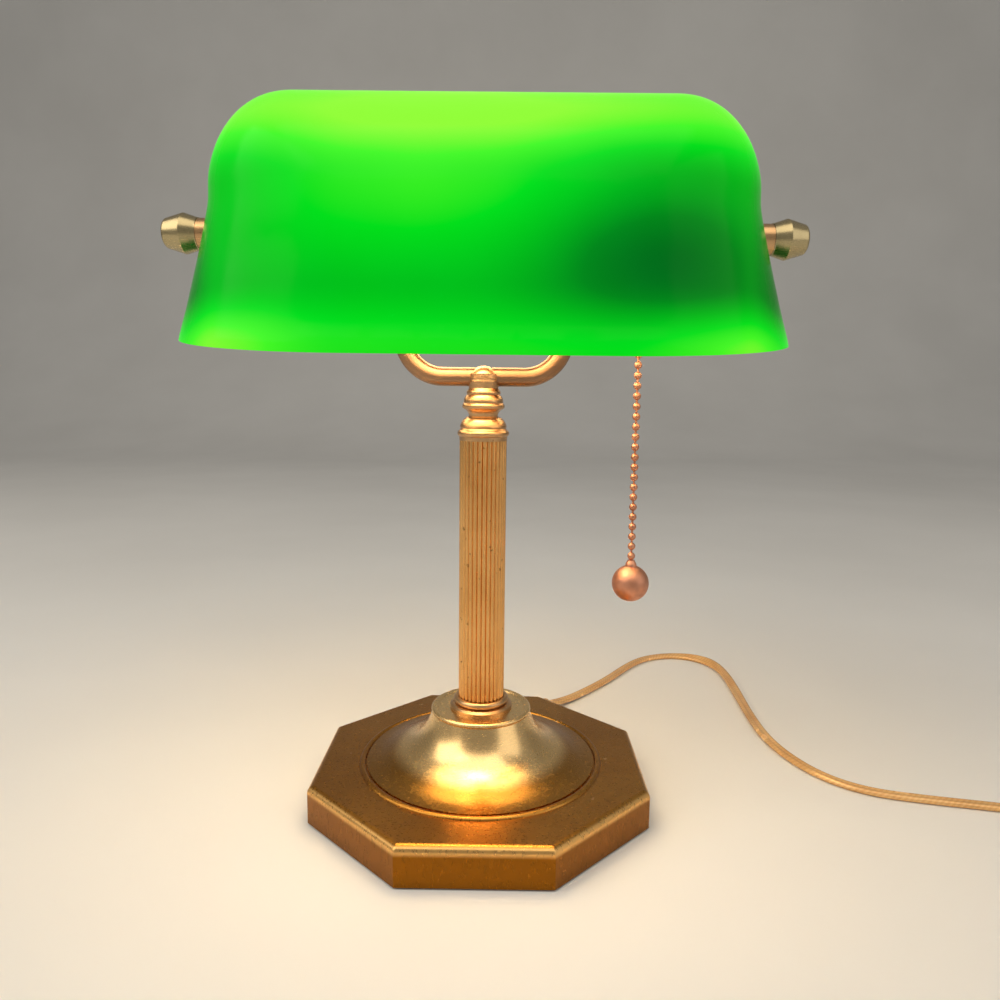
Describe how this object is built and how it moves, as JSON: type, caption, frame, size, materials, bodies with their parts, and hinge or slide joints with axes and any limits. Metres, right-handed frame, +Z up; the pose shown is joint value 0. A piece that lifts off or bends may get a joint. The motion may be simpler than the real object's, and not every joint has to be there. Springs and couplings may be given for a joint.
{
  "type": "banker desk lamp",
  "caption": "Desk lamp with an octagonal brass base, reeded column, U-shaped yoke and a tilting green cased-glass shade with a pull chain.",
  "frame": {"origin": "on the column's axis, on the surface that the lamp stands on (underside of the felt pad)", "axes": "+Z up, +X to the pull-chain side along the shade, -Y to the front"},
  "size_m": [0.4495, 0.3122, 0.2945],
  "materials": {
    "brass_aged": "aged lacquered brass, satin sides, pitted top",
    "brass_polished": "polished spun brass",
    "brass_satin": "satin brass",
    "brass_turned": "lathe-turned brass, lightly tarnished",
    "brass_sheet": "pressed brass sheet",
    "brass_chain": "nickel-free brass bead chain, satin",
    "zinc_steel": "zinc-plated steel",
    "iron": "rough cast",
    "felt": "green felt",
    "fibre": "vulcanised fibre",
    "phenolic": "moulded phenolic",
    "aluminium": "rolled thread",
    "bulb_frosted": "frosted, lit",
    "clear_glass": "clear",
    "tungsten": "wire",
    "glass_green": "glossy cased glass",
    "glass_opal": "opal white lining",
    "rubber": "matte",
    "cord_pvc": "translucent gold vinyl over stranded copper",
    "cord_moulding": "gold-brown moulded vinyl",
    "tie_wire": "paper-covered wire tie"
  },
  "bodies": {
    "frame": {"base_shell": "brass_aged", "base_bell": "brass_polished", "base_felt_pad": "felt", "base_weight": "iron", "base_washer": "zinc_steel", "base_locknut": "zinc_steel", "column_foot": "brass_turned", "column_tube": "brass_satin", "column_collar": "brass_turned", "yoke_vase": "brass_turned", "yoke_tee": "brass_turned", "threaded_rod": "zinc_steel", "yoke_arm_left": "brass_satin", "yoke_arm_right": "brass_satin", "yoke_arm_nuts": "brass_turned", "shade_strap": "brass_sheet", "socket_bracket": "brass_sheet", "bracket_screws": "zinc_steel", "socket_shell": "brass_sheet", "socket_cap": "brass_sheet", "socket_liner": "fibre", "switch_body": "phenolic", "screw_shell": "aluminium", "centre_contact": "brass_sheet", "socket_nipple": "zinc_steel", "nipple_nuts": "zinc_steel", "chain_mouth": "brass_turned", "bulb_cap": "aluminium", "bulb_glass": "bulb_frosted", "bulb_stem": "clear_glass", "bulb_filament": "tungsten", "socket_lead": "cord_pvc", "cord_strain_relief": "cord_moulding", "cord": "cord_pvc", "cord_coil": "cord_pvc", "cord_tail": "cord_pvc", "plug_body": "cord_moulding", "plug_blades": "brass_turned", "coil_tie": "tie_wire"},
    "shade": {"shade_glass_green": "glass_green", "shade_glass_opal": "glass_opal", "shade_grommets": "rubber", "shade_washers": "brass_turned"},
    "knob_left": {"knob_left": "brass_turned", "knob_stud_left": "zinc_steel"},
    "knob_right": {"knob_right": "brass_turned", "knob_stud_right": "zinc_steel"},
    "chain_pull": {"chain_inner": "brass_chain"},
    "chain_swing": {"chain_top": "brass_chain"},
    "chain_drop": {"chain_main": "brass_chain", "chain_coupling": "brass_chain", "chain_ball": "brass_chain"}
  },
  "joints": [
    {"name": "shade_tilt", "type": "hinge", "parent": "frame", "child": "shade", "pos_m": [0, 0, 0.242], "axis": [1, 0, 0], "range_deg": [-45, 35]},
    {"name": "knob_left_turn", "type": "hinge", "parent": "frame", "child": "knob_left", "pos_m": [-0.12, 0, 0.242], "axis": [-1, 0, 0], "continuous": true},
    {"name": "knob_right_turn", "type": "hinge", "parent": "frame", "child": "knob_right", "pos_m": [0.12, 0, 0.242], "axis": [1, 0, 0], "continuous": true},
    {"name": "chain_pull", "type": "slide", "parent": "frame", "child": "chain_pull", "axis": [0, -0.4695, -0.8829], "range_m": [0, 0.01], "stiffness_N_per_m": 600, "springref_m": -0.003},
    {"name": "chain_swing_front", "type": "hinge", "parent": "chain_pull", "child": "chain_swing", "pos_m": [0.0627, -0.01056, 0.22213], "axis": [1, 0, 0], "range_deg": [-35, 8]},
    {"name": "chain_swing_side", "type": "hinge", "parent": "chain_swing", "child": "chain_drop", "pos_m": [0.0627, -0.01056, 0.21348], "axis": [0, 1, 0], "range_deg": [-30, 18]}
  ]
}
